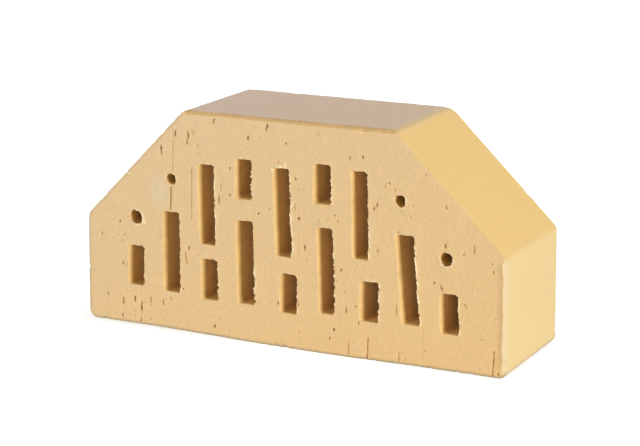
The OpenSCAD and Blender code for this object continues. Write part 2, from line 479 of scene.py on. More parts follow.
def outline_gap(x, z, size):
    """Signed distance to the brick's outline, negative in the clay, and the direction outwards.

    It is the largest of the distances to the six sides. Within the wedge that a rounded edge spans from its
    centre, it is the distance to that centre, less the edge's radius. Towards the foot the coordinates shrink
    along the length and drop at both ends, so that the ends spread and the base bows there.
    """
    half_length = size["length"] / 2
    near_foot = np.clip(1.0 - z / (size["height"] - size["right_drop"]), 0.0, 1.0)
    bow = size["left_lift"] * smooth_step(*LEFT_BOW, -x / half_length)
    bow = bow + size["right_lift"] * smooth_step(*RIGHT_BOW, x / half_length)
    z = z - bow * near_foot
    x = x * (1.0 - size["foot_spread"] / half_length * near_foot)
    right_slant = np.array((size["right_drop"], size["right_run"]))
    right_slant = right_slant / math.hypot(*right_slant)
    left_slant = np.array((-size["left_drop"], size["left_run"]))
    left_slant = left_slant / math.hypot(*left_slant)
    normals = np.array([(0.0, -1.0), (1.0, 0.0), right_slant, (0.0, 1.0), left_slant, (-1.0, 0.0)])
    right_reach = right_slant @ (half_length, size["height"] - size["right_drop"])
    left_reach = left_slant @ (-half_length, size["height"] - size["left_drop"])
    left_end = half_length - size["left_short"]
    reaches = np.array([0.0, half_length, right_reach, size["height"], left_reach, left_end])
    radii = np.full(len(normals), size["die_radius"])
    radii[2] = size["crest_radius"]
    radii[5] = size["foot_radius"]

    gap = np.full(x.shape, -np.inf)
    out_x = np.zeros(x.shape)
    out_z = np.zeros(x.shape)
    for (side_x, side_z), reach in zip(normals, reaches):
        beyond = x * side_x + z * side_z - reach
        closer = beyond > gap
        gap = np.where(closer, beyond, gap)
        out_x = np.where(closer, side_x, out_x)
        out_z = np.where(closer, side_z, out_z)
    for side, radius in enumerate(radii):
        pair = [side, (side + 1) % len(normals)]
        centre_x, centre_z = np.linalg.solve(normals[pair], reaches[pair] - radius)
        (first_x, first_z), (second_x, second_z) = normals[pair]
        off_x, off_z = x - centre_x, z - centre_z
        off = np.maximum(np.hypot(off_x, off_z), TINY)
        within = (first_x * off_z - first_z * off_x > 0) & (off_x * second_z - off_z * second_x > 0)
        gap = np.where(within, off - radius, gap)
        out_x = np.where(within, off_x / off, out_x)
        out_z = np.where(within, off_z / off, out_z)
    return gap, out_x, out_z


def hole_gap(x, z, holes):
    """Signed distance to the nearest hole, negative inside it, the way out of it, and 1 where it is round.

    A hole is a rectangle with rounded corners, sheared by its lean. Past its straight part the distance is
    the hypotenuse of how far a point lies beyond it across and up, less the corner radius.
    """
    nearest = np.full(x.shape, np.inf)
    away_x = np.zeros(x.shape)
    away_z = np.zeros(x.shape)
    is_round = np.zeros(x.shape)
    for middle_x, middle_z, half_width, half_length, corner, slope in holes:
        up = z - middle_z
        across = x - middle_x - up * slope
        past_x = np.abs(across) - (half_width - corner)
        past_z = np.abs(up) - (half_length - corner)
        reach = np.hypot(np.maximum(past_x, 0.0), np.maximum(past_z, 0.0))
        gap = reach + np.minimum(np.maximum(past_x, past_z), 0.0) - corner
        closer = gap < nearest
        nearest = np.where(closer, gap, nearest)
        sideways = np.where(reach > 0, np.maximum(past_x, 0.0), past_x > past_z)
        upwards = np.where(reach > 0, np.maximum(past_z, 0.0), past_x <= past_z)
        span = np.maximum(np.hypot(sideways, upwards), TINY)
        away_x = np.where(closer, np.sign(across) * sideways / span, away_x)
        away_z = np.where(closer, np.sign(up) * upwards / span, away_z)
        is_round = np.where(closer, float(corner == half_width), is_round)
    return nearest, away_x, away_z, is_round


def torn_edge(x, z, hole, away_x, away_z, is_round, size):
    """How far the wire tore a hole's edge: noise at the nearest place on it, most where the wire left."""
    x = x - hole * away_x
    z = z - hole * away_z
    leaving = smooth_step(0.2, 0.9, away_x) + 0.4 * smooth_step(0.2, 0.9, away_z)
    strength = 0.15 + leaving * (0.3 + 1.0 * np.abs(lattice_noise(x, z, TEAR_RUN, 19)))
    fine = 0.7 * lattice_noise(x, z, TEAR_FINE, 11) + lattice_noise(x, z, TEAR_FINEST, 12)
    coarse = lattice_noise(x, z, TEAR_COARSE, 13)
    blob = 1.3 * is_round * lattice_noise(x, z, TEAR_LUMP, 17)
    return size["ragged_edge"] * (strength * fine + 0.5 * coarse + blob)


def chipped_edge(x, z, outer, out_x, out_z, size):
    """How far the outline is chipped: noise at its nearest place that only takes clay, in short runs."""
    x = x - outer * out_x
    z = z - outer * out_z
    chips = np.clip(rough_noise(x, z, CHIP_SIZE, 31) - 0.15, 0.0, None)
    return size["chip"] * chips * smooth_step(-0.3, 0.4, lattice_noise(x, z, CHIP_RUN, 37))


def clay_gap(x, z, size, holes):
    """Signed distance to the edge of the clay in the section, negative in the clay."""
    outer, out_x, out_z = outline_gap(x, z, size)
    chipped = outer + chipped_edge(x, z, outer, out_x, out_z, size)
    hole, away_x, away_z, is_round = hole_gap(x, z, holes)
    torn = hole + torn_edge(x, z, hole, away_x, away_z, is_round, size)
    return np.maximum(chipped, -torn)


def mark_lines(pits, cracks):
    """Pits and cracks as lines: place along the length and height of both ends, then half width."""
    x, z, half_width, half_length = np.asarray(pits).T
    reach = np.maximum(half_length - half_width, 0.0)
    lines = np.stack([x, z + reach, x, z - reach, half_width], axis=1)
    return np.concatenate([lines, np.asarray(cracks)])


def wanted_step(x, z, size, holes, marks):
    """Longest side that a triangle may have: short at edges and marks, longer in step with the way off."""
    hole = np.abs(hole_gap(x, z, holes)[0])
    edge = np.abs(outline_gap(x, z, size)[0])
    step = np.minimum(OPEN_STEP, HOLE_STEP + STEP_GROWTH * np.maximum(hole - HOLE_BAND, 0.0))
    step = np.minimum(step, OUTLINE_STEP + STEP_GROWTH * np.maximum(edge - size["top_arris"], 0.0))
    for top_x, top_z, foot_x, foot_z, half_width in marks:
        run_x, run_z = foot_x - top_x, foot_z - top_z
        share = ((x - top_x) * run_x + (z - top_z) * run_z) / max(run_x**2 + run_z**2, TINY)
        share = np.clip(share, 0.0, 1.0)
        off = np.hypot(x - top_x - share * run_x, z - top_z - share * run_z)
        step = np.minimum(step, MARK_STEP + STEP_GROWTH * np.maximum(off - half_width, 0.0))
    return step


def halves(triangles, middle):
    """Both halves of each triangle, cut from its first corner to the middle of the side that faces it."""
    top, low, high = triangles.T
    return np.concatenate([np.stack([middle, top, low], axis=1), np.stack([middle, high, top], axis=1)])


def halve_triangles(points, triangles, chosen):
    """Halves the chosen triangles, and neighbours as far as it takes to leave no point loose on a side.

    A triangle's first corner faces its long side, the one to cut. Where another side of a triangle is cut,
    its long side is cut too, until nothing changes. Each is then halved, and its halves again where needed.
    """
    count = len(points)
    sides = np.stack([triangles[:, [1, 2]], triangles[:, [2, 0]], triangles[:, [0, 1]]], axis=1)
    keys, side = np.unique(sides.min(axis=2) * count + sides.max(axis=2), return_inverse=True)
    side = side.reshape(-1, 3)
    cut = np.zeros(len(keys), dtype=bool)
    cut[side[chosen, 0]] = True
    forced = chosen
    while forced.any():
        forced = cut[side].any(axis=1) & ~cut[side[:, 0]]
        cut[side[forced, 0]] = True
    middle = count - 1 + np.cumsum(cut)
    ends = np.stack([keys[cut] // count, keys[cut] % count], axis=1)
    points = np.concatenate([points, points[ends].mean(axis=1)])
    halved = cut[side[:, 0]]
    children = halves(triangles[halved], middle[side[halved, 0]])
    child_side = np.concatenate([side[halved, 2], side[halved, 1]])
    again = cut[child_side]
    grandchildren = halves(children[again], middle[child_side[again]])
    return points, np.concatenate([triangles[~halved], children[~again], grandchildren])


def lay_triangles(size, holes, marks):
    """Triangles over the whole section, small where there is relief, as points (x, z) and corner numbers.

    Square cells are split in two, and triangles with too long a side are halved until none is left.
    """
    cell, margin = OPEN_STEP, OPEN_STEP / 2
    half_length = size["length"] / 2
    columns = round((size["length"] + 2 * margin) / cell)
    rows = round((size["height"] + 2 * margin) / cell)
    x_lines = np.linspace(-half_length - margin, half_length + margin, columns + 1)
    z_lines = np.linspace(-margin, size["height"] + margin, rows + 1)
    x, z = np.meshgrid(x_lines, z_lines, indexing="ij")
    points = np.stack([x.ravel(), z.ravel()], axis=1)
    number = np.arange(x.size).reshape(x.shape)
    a, b, c, d = (n.ravel() for n in (number[:-1, :-1], number[1:, :-1], number[1:, 1:], number[:-1, 1:]))
    slash = (np.add.outer(np.arange(columns), np.arange(rows)) % 2 == 0).ravel()[:, None]
    first = np.where(slash, np.stack([b, c, a], axis=1), np.stack([a, b, d], axis=1))
    second = np.where(slash, np.stack([d, a, c], axis=1), np.stack([c, d, b], axis=1))
    triangles = np.concatenate([first, second])
    while True:
        corners = points[triangles]
        long_side = np.hypot(*(corners[:, 1] - corners[:, 2]).T)
        middle = corners.mean(axis=1)
        chosen = long_side > wanted_step(middle[:, 0], middle[:, 1], size, holes, marks)
        if not chosen.any():
            return points, triangles
        points, triangles = halve_triangles(points, triangles, chosen)


def mesh_section(size, holes, marks):
    """Triangles of the section between the outline and the holes, as points (x, z) and corner numbers.

    Points close to an edge are moved onto it along the slope of the distance, and each triangle is clipped
    where the distance is zero.
    """
    points, corners = lay_triangles(size, holes, marks)
    x, z = points.T
    count = len(points)
    lengths = np.linalg.norm(points[corners] - points[np.roll(corners, -1, axis=1)], axis=2)
    step = np.full(count, np.inf)
    np.minimum.at(step, corners, lengths.min(axis=1)[:, None])
    gap = clay_gap(x, z, size, holes)
    for turn in range(MOVES):
        slope_x = (clay_gap(x + PROBE, z, size, holes) - clay_gap(x - PROBE, z, size, holes)) / (2 * PROBE)
        slope_z = (clay_gap(x, z + PROBE, size, holes) - clay_gap(x, z - PROBE, size, holes)) / (2 * PROBE)
        steepness = np.maximum(np.hypot(slope_x, slope_z), LEAST_SLOPE)
        if turn == 0:
            near = np.abs(gap) / steepness < NEAR_SHARE * step
        move = np.where(near, gap / steepness**2, 0.0)
        x = x - move * slope_x
        z = z - move * slope_z
        gap = clay_gap(x, z, size, holes)
    gap = np.where(near, 0.0, gap)
    points = np.stack([x, z], axis=1)
    side = np.sign(gap)[corners]
    inside = (side < 0).sum(axis=1)
    outside = (side > 0).sum(axis=1)

    def turned(chosen, lead):
        """The chosen triangles, each turned so that its corner with the leading sign comes first."""
        rows = corners[chosen]
        start = np.argmax(side[chosen] == lead, axis=1)
        order = (start[:, None] + np.arange(3)) % 3
        return np.take_along_axis(rows, order, axis=1)

    whole = corners[(outside == 0) & (inside > 0)]
    two = turned((inside == 2) & (outside == 1), 1)
    one = turned((inside == 1) & (outside == 2), -1)
    mixed = turned((inside == 1) & (outside == 1), -1)
    on_second = gap[mixed[:, 1]] == 0
    mixed_on = mixed[on_second]
    mixed_out = mixed[~on_second]
    inner = np.concatenate([two[:, 1], two[:, 2], one[:, 0], one[:, 0], mixed_on[:, 0], mixed_out[:, 0]])
    outer = np.concatenate([two[:, 0], two[:, 0], one[:, 1], one[:, 2], mixed_on[:, 2], mixed_out[:, 1]])
    keys, place = np.unique(inner * count + outer, return_inverse=True)
    source, target = keys // count, keys % count
    share = gap[source] / (gap[source] - gap[target])
    crossings = points[source] + share[:, None] * (points[target] - points[source])
    made = np.split(place + count, np.cumsum([len(two), len(two), len(one), len(one), len(mixed_on)]))
    triangles = np.concatenate([
        whole,
        np.stack([two[:, 1], two[:, 2], made[1]], axis=1),
        np.stack([two[:, 1], made[1], made[0]], axis=1),
        np.stack([one[:, 0], made[2], made[3]], axis=1),
        np.stack([mixed_on[:, 0], mixed_on[:, 1], made[4]], axis=1),
        np.stack([mixed_out[:, 0], made[5], mixed_out[:, 2]], axis=1),
    ])
    used, renumbered = np.unique(triangles, return_inverse=True)
    return np.concatenate([points, crossings])[used], renumbered.reshape(-1, 3)


def edge_runs(triangles, count):
    """The directed edges that only one triangle has, with the clay on their left."""
    start = triangles.ravel()
    end = np.roll(triangles, -1, axis=1).ravel()
    lonely = ~np.isin(start * count + end, end * count + start)
    return start[lonely], end[lonely]


def pit_marks(x, z, pits, seed):
    """Depth of the pits from 0 to 1: the deepest of one bell curve for each, on coordinates that noise bends.

    A narrow pit is as much shallower as it is narrower than the full width.
    """
    bent_x = x + PIT_BEND * lattice_noise(x, z, 1.0, seed)
    bent_z = z + PIT_BEND * lattice_noise(x, z, 1.0, seed + 1)
    depth = np.zeros(x.shape)
    for pit_x, pit_z, half_width, half_length in pits:
        across = (bent_x - pit_x) / (PIT_WIDENING * half_width)
        along = (bent_z - pit_z) / (PIT_LENGTHENING * half_length)
        reach = across**2 + along**2
        fullness = min(1.0, half_width / PIT_FULL_WIDTH)
        depth = np.maximum(depth, fullness * np.exp(-(reach**PIT_STEEPNESS)))
    return depth


def crack_marks(x, z, cracks, seed):
    """Depth of the cracks from 0 to 1: a bell curve across a line that sways by noise, faded at both ends.

    A narrow crack is as much shallower as it is narrower than the full width.
    """
    depth = np.zeros(x.shape)
    for turn, (top_x, top_z, foot_x, foot_z, half_width) in enumerate(cracks):
        share = (top_z - z) / (top_z - foot_z)
        noise_row = np.full(z.shape, 7.0 * turn)
        sway = CRACK_SWAY * lattice_noise(z / CRACK_SWAY_LENGTH, noise_row, 1.0, seed)
        middle = top_x + (foot_x - top_x) * share + sway
        fade = smooth_step(-0.02, 0.08, share) * smooth_step(1.02, 0.94, share)
        fade = fade * min(1.0, half_width / CRACK_FULL_WIDTH)
        depth = np.maximum(depth, fade * np.exp(-(((x - middle) / half_width) ** 2)))
    return depth


def bed_face(x, z, size, holes, pits, cracks, flakes, smears, seed):
    """Relief of a wire-cut bed face: how far each point lies below the face, and its share of each finish and
    of the painted shade and highlight.

    A lip is a quarter circle whose radius follows the side of the hole. An arris is a slope whose width
    follows the side of the brick. Pits, cracks and slow unevenness are added, and burrs are taken off.
    """
    edge, out_x, out_z = outline_gap(x, z, size)
    edge = np.maximum(-edge - chipped_edge(x, z, edge, out_x, out_z, size), 0.0)
    hole, away_x, away_z, is_round = hole_gap(x, z, holes)
    hole = np.maximum(hole + torn_edge(x, z, hole, away_x, away_z, is_round, size), 0.0)

    left = np.clip(-away_x, 0.0, 1.0) ** 2
    right = np.clip(away_x, 0.0, 1.0) ** 2
    below = np.clip(-away_z, 0.0, 1.0) ** 2
    above = np.clip(away_z, 0.0, 1.0) ** 2
    slow = lattice_noise(x, z, LIP_WAVE, seed)
    lip = left * size["dragged_lip"] * (1.0 + 0.3 * slow) + below * size["foot_lip"] * (1.0 + 0.4 * slow)
    lip = lip * (1.0 - 0.6 * is_round) + (right + above) * size["sharp_lip"]
    into_lip = np.clip(1.0 - hole / lip, 0.0, 1.0)
    lip_drop = lip * (1.0 - np.sqrt(1.0 - into_lip**2))

    heading = np.degrees(np.arctan2(out_z, out_x))
    end, cut, top, base = size["end_arris"], CUT_ARRIS, size["top_arris"], size["base_arris"]
    widths = (base, base, end, end, cut, cut, top, top, cut, cut, base, base, base, base)
    arris = np.interp(heading, ARRIS_HEADINGS, widths, period=360)
    at_end = smooth_step(0.85, 0.98, np.abs(out_x))
    nibbled = 0.2 * at_end * rough_noise(x, z, NIBBLE_SIZE, seed + 14)
    arris = arris * (1.0 + 0.15 * lattice_noise(x, z, ARRIS_WAVE, seed + 2) + nibbled)
    rim = arris - edge
    arris_drop = ARRIS_SLOPE * np.maximum(rim, 0.0)

    clear = smooth_step(0.0, 2.0, edge) * smooth_step(0.0, 1.0, hole)
    pit = pit_marks(x, z, pits, seed + 3)
    pit_ring = smooth_step(0.003, 0.03, pit) * smooth_step(0.25, 0.06, pit) * clear
    crack = crack_marks(x, z, cracks, seed + 5)
    drag = DRAG_DEPTH * rough_noise(x / DRAG_WIDTH, z / DRAG_LENGTH, 1.0, seed + 8)
    uneven = UNEVEN_DEPTH * rough_noise(x, z, UNEVEN_SIZE, seed + 10)
    flake = pit_marks(x, z, flakes, seed + 16)
    lumps = 0.55 + 0.9 * rough_noise(x, z, LUMP_SIZE, seed + 12)
    lumps = np.clip(lumps + 0.5 * lattice_noise(x, z, LUMP_RUN, seed + 20), 0.0, 1.2)
    leaving = np.maximum(right + 0.7 * above, 0.7 * is_round)
    ridge = np.maximum(leaving * np.exp(-((hole / BURR_REACH) ** 2)) * lumps, flake)
    ledge = 0.35 * (left + below) * np.exp(-(((hole - lip) / LEDGE_REACH) ** 2)) * lumps
    depth = lip_drop + arris_drop + clear * (PIT_DEPTH * pit + drag + uneven)
    depth = depth + CRACK_DEPTH * crack - size["burr"] * ridge

    at_base = smooth_step(-0.05, -0.75, out_z)
    at_left = smooth_step(-0.3, -0.9, out_x)
    shares = {
        "rim": np.maximum(rim, FACE_RIM),
        "end": at_end,
        "crest": smooth_step(0.85, 0.98, out_z),
        # Painted shade along the base edge and, half as strong, along the left end's edge
        "grime": np.maximum(at_base, 0.5 * at_left) * smooth_step(1.7, 0.3, edge),
        # Pits and cracks, painted dark for the shade in them
        "pit": np.maximum(pit * clear, 0.75 * crack),
        # Burrs and flakes, and pale rings round pits as a painted highlight
        "burr": np.maximum(np.maximum(ridge, ledge), 0.5 * pit_ring),
        "hollow": (left + below) * np.minimum(1.6 * into_lip, 1.0),
        "bore": is_round * into_lip,
        "smear": pit_marks(x, z, smears, seed + 18),
    }
    return depth, shares


def scattered_pits(size, count, seed):
    """Pits for the hidden bed face, drawn at random over the section."""
    draw = np.random.default_rng(seed)
    x = draw.uniform(-0.47 * size["length"], 0.47 * size["length"], count)
    z = draw.uniform(3.0, size["height"] - 4.0, count)
    half_width = draw.uniform(0.35, 0.6, count)
    half_length = draw.uniform(0.6, 1.8, count)
    return np.stack([x, z, half_width, half_length], axis=1)


def scattered_cracks(size, count, seed):
    """Cracks for the hidden bed face, drawn at random and upright."""
    draw = np.random.default_rng(seed)
    x = draw.uniform(-0.45 * size["length"], 0.45 * size["length"], count)
    foot = draw.uniform(0.0, 0.5 * size["height"], count)
    head = foot + draw.uniform(6.0, 26.0, count)
    foot_x = x + draw.uniform(-0.6, 0.6, count)
    half_width = draw.uniform(0.2, 0.4, count)
    return np.stack([x, head, foot_x, foot, half_width], axis=1)


def shape_brick(size):
    """The brick's surface: points in millimetres, triangles, quads, and each point's share of each finish and
    of the painted shade and highlight.

    The section's triangles make both bed faces. Along every edge of the section a wall runs through the
    thickness in rows. The torn edge of a hole or a chipped outline eases into its true line a little way in.
    """
    holes = lay_out_holes(size)
    pit_seed, crack_seed, flake_seed, smear_seed = SCATTER_SEEDS
    back_pits = scattered_pits(size, len(FRONT_PITS) // 2, pit_seed)
    back_cracks = scattered_cracks(size, len(FRONT_CRACKS) // 2, crack_seed)
    back_flakes = scattered_pits(size, len(FRONT_FLAKES), flake_seed)
    back_smears = scattered_pits(size, len(FRONT_SMEARS), smear_seed) * SMEAR_GROWTH
    front_marks = mark_lines(FRONT_PITS + FRONT_FLAKES, FRONT_CRACKS)
    back_marks = mark_lines(np.concatenate([back_pits, back_flakes]), back_cracks)
    marks = np.concatenate([front_marks, back_marks])
    section, triangles = mesh_section(size, holes, marks)
    x, z = section[:, 0], section[:, 1]
    half = size["thickness"] / 2
    front_all = (FRONT_PITS, FRONT_CRACKS, FRONT_FLAKES, FRONT_SMEARS)
    back_all = (back_pits, back_cracks, back_flakes, back_smears)
    front, front_shares = bed_face(x, z, size, holes, *front_all, FRONT_SEED)
    back, back_shares = bed_face(x, z, size, holes, *back_all, BACK_SEED)

    count = len(section)
    start, end = edge_runs(triangles, count)
    rim = np.unique(start)
    rim_x, rim_z = x[rim], z[rim]
    outer, out_x, out_z = outline_gap(rim_x, rim_z, size)
    hole, away_x, away_z, is_round = hole_gap(rim_x, rim_z, holes)
    is_hole = np.abs(hole) < np.abs(outer)
    off_line = np.where(is_hole, hole, outer)
    toward_x = np.where(is_hole, away_x, out_x)
    toward_z = np.where(is_hole, away_z, out_z)
    inner_rows = np.array(WALL_ROWS[1:-1])[:, None]
    front_y = -half + front[rim]
    back_y = half - back[rim]
    wall_y = front_y + inner_rows * (back_y - front_y)
    ease = smooth_step(0.0, EASE_DEPTH, half - np.abs(wall_y)) * off_line
    wall = np.stack([rim_x - ease * toward_x, wall_y, rim_z - ease * toward_z], axis=-1).reshape(-1, 3)
    points = np.concatenate([
        np.stack([x, -half + front, z], axis=1),
        np.stack([x, half - back, z], axis=1),
        wall,
    ])

    rows = len(inner_rows)
    place = np.full(count, -1)
    place[rim] = np.arange(len(rim))
    wall_number = 2 * count + np.arange(rows * len(rim)).reshape(rows, len(rim))
    ladder = np.concatenate([rim[None, :], wall_number, rim[None, :] + count])
    run_start, run_end = place[start], place[end]
    quads = np.stack(
        [ladder[:-1, run_start], ladder[1:, run_start], ladder[1:, run_end], ladder[:-1, run_end]], axis=-1
    ).reshape(-1, 4)
    faces = np.concatenate([triangles, triangles[:, ::-1] + count])
    in_hole = np.tile(is_hole.astype(float), rows)
    # Painted shade on the outer walls that face the floor, most on the rounding from an end to the base
    at_base = smooth_step(-0.05, -0.75, out_z) * (1.0 - 0.7 * smooth_step(-0.9, -1.0, out_z))
    wall_painted_edge_shade = np.tile(np.where(is_hole, 0.0, at_base), rows)
    wall_shares = {
        "rim": np.where(in_hole > 0, FACE_RIM, WALL_RIM),
        "hollow": in_hole,
        "bore": in_hole * np.tile(is_round, rows),
        "grime": wall_painted_edge_shade,
    }
    bare_wall = np.zeros(len(wall))
    shares = {
        name: np.concatenate([front_shares[name], back_shares[name], wall_shares.get(name, bare_wall)])
        for name in front_shares
    }
    return points, faces, quads, shares


def fill_mesh(name, points, triangles, quads, shares):
    """A mesh from arrays of points, triangles, quads and point attributes."""
    mesh = bpy.data.meshes.new(name)
    corners = np.concatenate([triangles.ravel(), quads.ravel()]).astype(np.int32)
    lengths = np.concatenate([np.full(len(triangles), 3), np.full(len(quads), 4)])
    starts = np.concatenate([[0], np.cumsum(lengths)[:-1]]).astype(np.int32)
    mesh.vertices.add(len(points))
    mesh.vertices.foreach_set("co", (points * MM).astype(np.float32).ravel())
    mesh.loops.add(len(corners))
    mesh.loops.foreach_set("vertex_index", corners)
    mesh.polygons.add(len(lengths))
    mesh.polygons.foreach_set("loop_start", starts)
    for attribute, values in shares.items():
        layer = mesh.attributes.new(attribute, "FLOAT", "POINT")
        layer.data.foreach_set("value", values.astype(np.float32))
    mesh.update(calc_edges=True)
    if mesh.validate(verbose=False):
        raise RuntimeError(f"the mesh {name} had faults")
    mesh.polygons.foreach_set("use_smooth", np.ones(len(mesh.polygons), dtype=bool))
    mesh.set_sharp_from_angle(angle=math.radians(SHARP_ANGLE))
    return mesh


class NodeDesk:
    """Adds nodes to one node tree and links them."""

    def __init__(self, tree):
        self.tree = tree
        tree.nodes.clear()

    def feed(self, node, name, value):
        """Links another node's output socket to an input, or sets the input to a value."""
        if isinstance(value, bpy.types.NodeSocket):
            self.tree.links.new(value, node.inputs[name])
        else:
            node.inputs[name].default_value = value

    def add(self, kind, inputs=None, **settings):
        """A node with its settings and inputs."""
        node = self.tree.nodes.new(kind)
        for name, value in settings.items():
            setattr(node, name, value)
        for name, value in (inputs or {}).items():
            self.feed(node, name, value)
        return node

    def noise(self, vector, scale, detail, roughness=0.5):
        """Noise of that many features to a metre."""
        settings = {"Vector": vector, "Scale": scale, "Detail": detail, "Roughness": roughness}
        return self.add("ShaderNodeTexNoise", settings).outputs["Fac"]

    def stretched_noise(self, vector, scales, detail, roughness=0.5):
        """Noise of that many features to a metre along each axis."""
        stretched = self.add("ShaderNodeMapping", {"Vector": vector, "Scale": scales}).outputs["Vector"]
        return self.noise(stretched, 1.0, detail, roughness)

    def spread(self, value, low, high, new_low=0.0, new_high=1.0):
        """A value mapped from one range to another, held at both ends."""
        ranges = {"Value": value, "From Min": low, "From Max": high, "To Min": new_low, "To Max": new_high}
        return self.add("ShaderNodeMapRange", ranges).outputs["Result"]

    def vary(self, noise, new_low, new_high):
        """A noise mapped from the range that most of it has to a new one."""
        return self.spread(noise, NOISE_LOW, NOISE_HIGH, new_low, new_high)

    def sum(self, first, second, operation="ADD"):
        """Two values joined by a sum or another operation."""
        return self.add("ShaderNodeMath", {0: first, 1: second}, operation=operation).outputs["Value"]

    def times(self, first, second):
        """Two values multiplied."""
        return self.sum(first, second, "MULTIPLY")

    def mix(self, share, first, second, blend_type="MIX"):
        """Two colours mixed by a share."""
        node = self.add("ShaderNodeMix", {0: share}, data_type="RGBA", blend_type=blend_type)
        for name, colour in ((6, first), (7, second)):
            is_link = isinstance(colour, bpy.types.NodeSocket)
            self.feed(node, name, colour if is_link else (*colour, 1.0))
        return node.outputs[2]

    def shaded(self, colour, value):
        """A colour multiplied by a value."""
        grey = self.add("ShaderNodeCombineColor", {"Red": value, "Green": value, "Blue": value})
        return self.mix(1.0, colour, grey.outputs["Color"], "MULTIPLY")

    def blend(self, share, first, second):
        """Two values mixed by a share."""
        return self.add("ShaderNodeMix", {0: share, 2: first, 3: second}, data_type="FLOAT").outputs[0]

    def share(self, name):
        """A point attribute of the mesh."""
        return self.add("ShaderNodeAttribute", attribute_name=name).outputs["Fac"]


